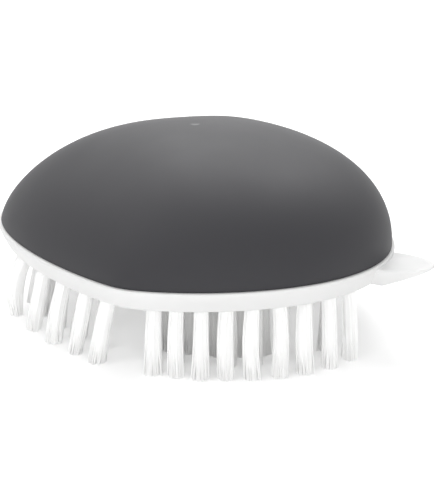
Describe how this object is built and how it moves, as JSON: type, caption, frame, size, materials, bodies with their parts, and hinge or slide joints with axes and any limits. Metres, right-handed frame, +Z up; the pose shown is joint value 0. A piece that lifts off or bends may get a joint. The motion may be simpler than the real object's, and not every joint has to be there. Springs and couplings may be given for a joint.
{
  "type": "dish brush",
  "caption": "Palm-held dish brush: rounded soft grip over a tufted bristle block with a slim rim and a pointed pan scraper at one end.",
  "frame": {"origin": "middle of the footprint, at the level of the trimmed bristle tips that the brush stands on", "axes": "+X from the nose to the tip of the scraper, +Z up through the grip"},
  "size_m": [0.0962, 0.075, 0.0416],
  "materials": {
    "grip_rubber": "matt soft touch",
    "core_plastic": "plain moulded",
    "white_plastic": "satin",
    "bristle": "satin filament"
  },
  "bodies": {
    "root": {"brush_block": "white_plastic", "grip_core": "core_plastic", "grip_skin": "grip_rubber", "tuft_nose_inner_01": "bristle", "tuft_nose_inner_02": "bristle", "tuft_nose_inner_03": "bristle", "tuft_nose_inner_04": "bristle", "tuft_nose_inner_05": "bristle", "tuft_nose_inner_06": "bristle", "tuft_nose_inner_07": "bristle", "tuft_nose_inner_08": "bristle", "tuft_nose_inner_09": "bristle", "tuft_nose_inner_10": "bristle", "tuft_nose_outer_01": "bristle", "tuft_nose_outer_02": "bristle", "tuft_nose_outer_03": "bristle", "tuft_nose_outer_04": "bristle", "tuft_nose_outer_05": "bristle", "tuft_nose_outer_06": "bristle", "tuft_nose_outer_07": "bristle", "tuft_nose_outer_08": "bristle", "tuft_nose_outer_09": "bristle", "tuft_nose_outer_10": "bristle", "tuft_tail_inner_01": "bristle", "tuft_tail_inner_02": "bristle", "tuft_tail_inner_03": "bristle", "tuft_tail_inner_04": "bristle", "tuft_tail_inner_05": "bristle", "tuft_tail_inner_06": "bristle", "tuft_tail_inner_07": "bristle", "tuft_tail_inner_08": "bristle", "tuft_tail_inner_09": "bristle", "tuft_tail_inner_10": "bristle", "tuft_tail_inner_11": "bristle", "tuft_tail_inner_12": "bristle", "tuft_tail_inner_13": "bristle", "tuft_tail_middle_01": "bristle", "tuft_tail_middle_02": "bristle", "tuft_tail_middle_03": "bristle", "tuft_tail_middle_04": "bristle", "tuft_tail_middle_05": "bristle", "tuft_tail_middle_06": "bristle", "tuft_tail_middle_07": "bristle", "tuft_tail_middle_08": "bristle", "tuft_tail_outer_01": "bristle", "tuft_tail_outer_02": "bristle", "tuft_tail_outer_03": "bristle", "tuft_tail_outer_04": "bristle", "tuft_tail_outer_05": "bristle", "tuft_tail_outer_06": "bristle", "tuft_tail_outer_07": "bristle", "tuft_tail_outer_08": "bristle", "tuft_tail_outer_09": "bristle", "tuft_tail_outer_10": "bristle", "tuft_tail_outer_11": "bristle", "tuft_tail_outer_12": "bristle", "tuft_tail_outer_13": "bristle", "tuft_tail_outer_14": "bristle"}
  },
  "joints": []
}
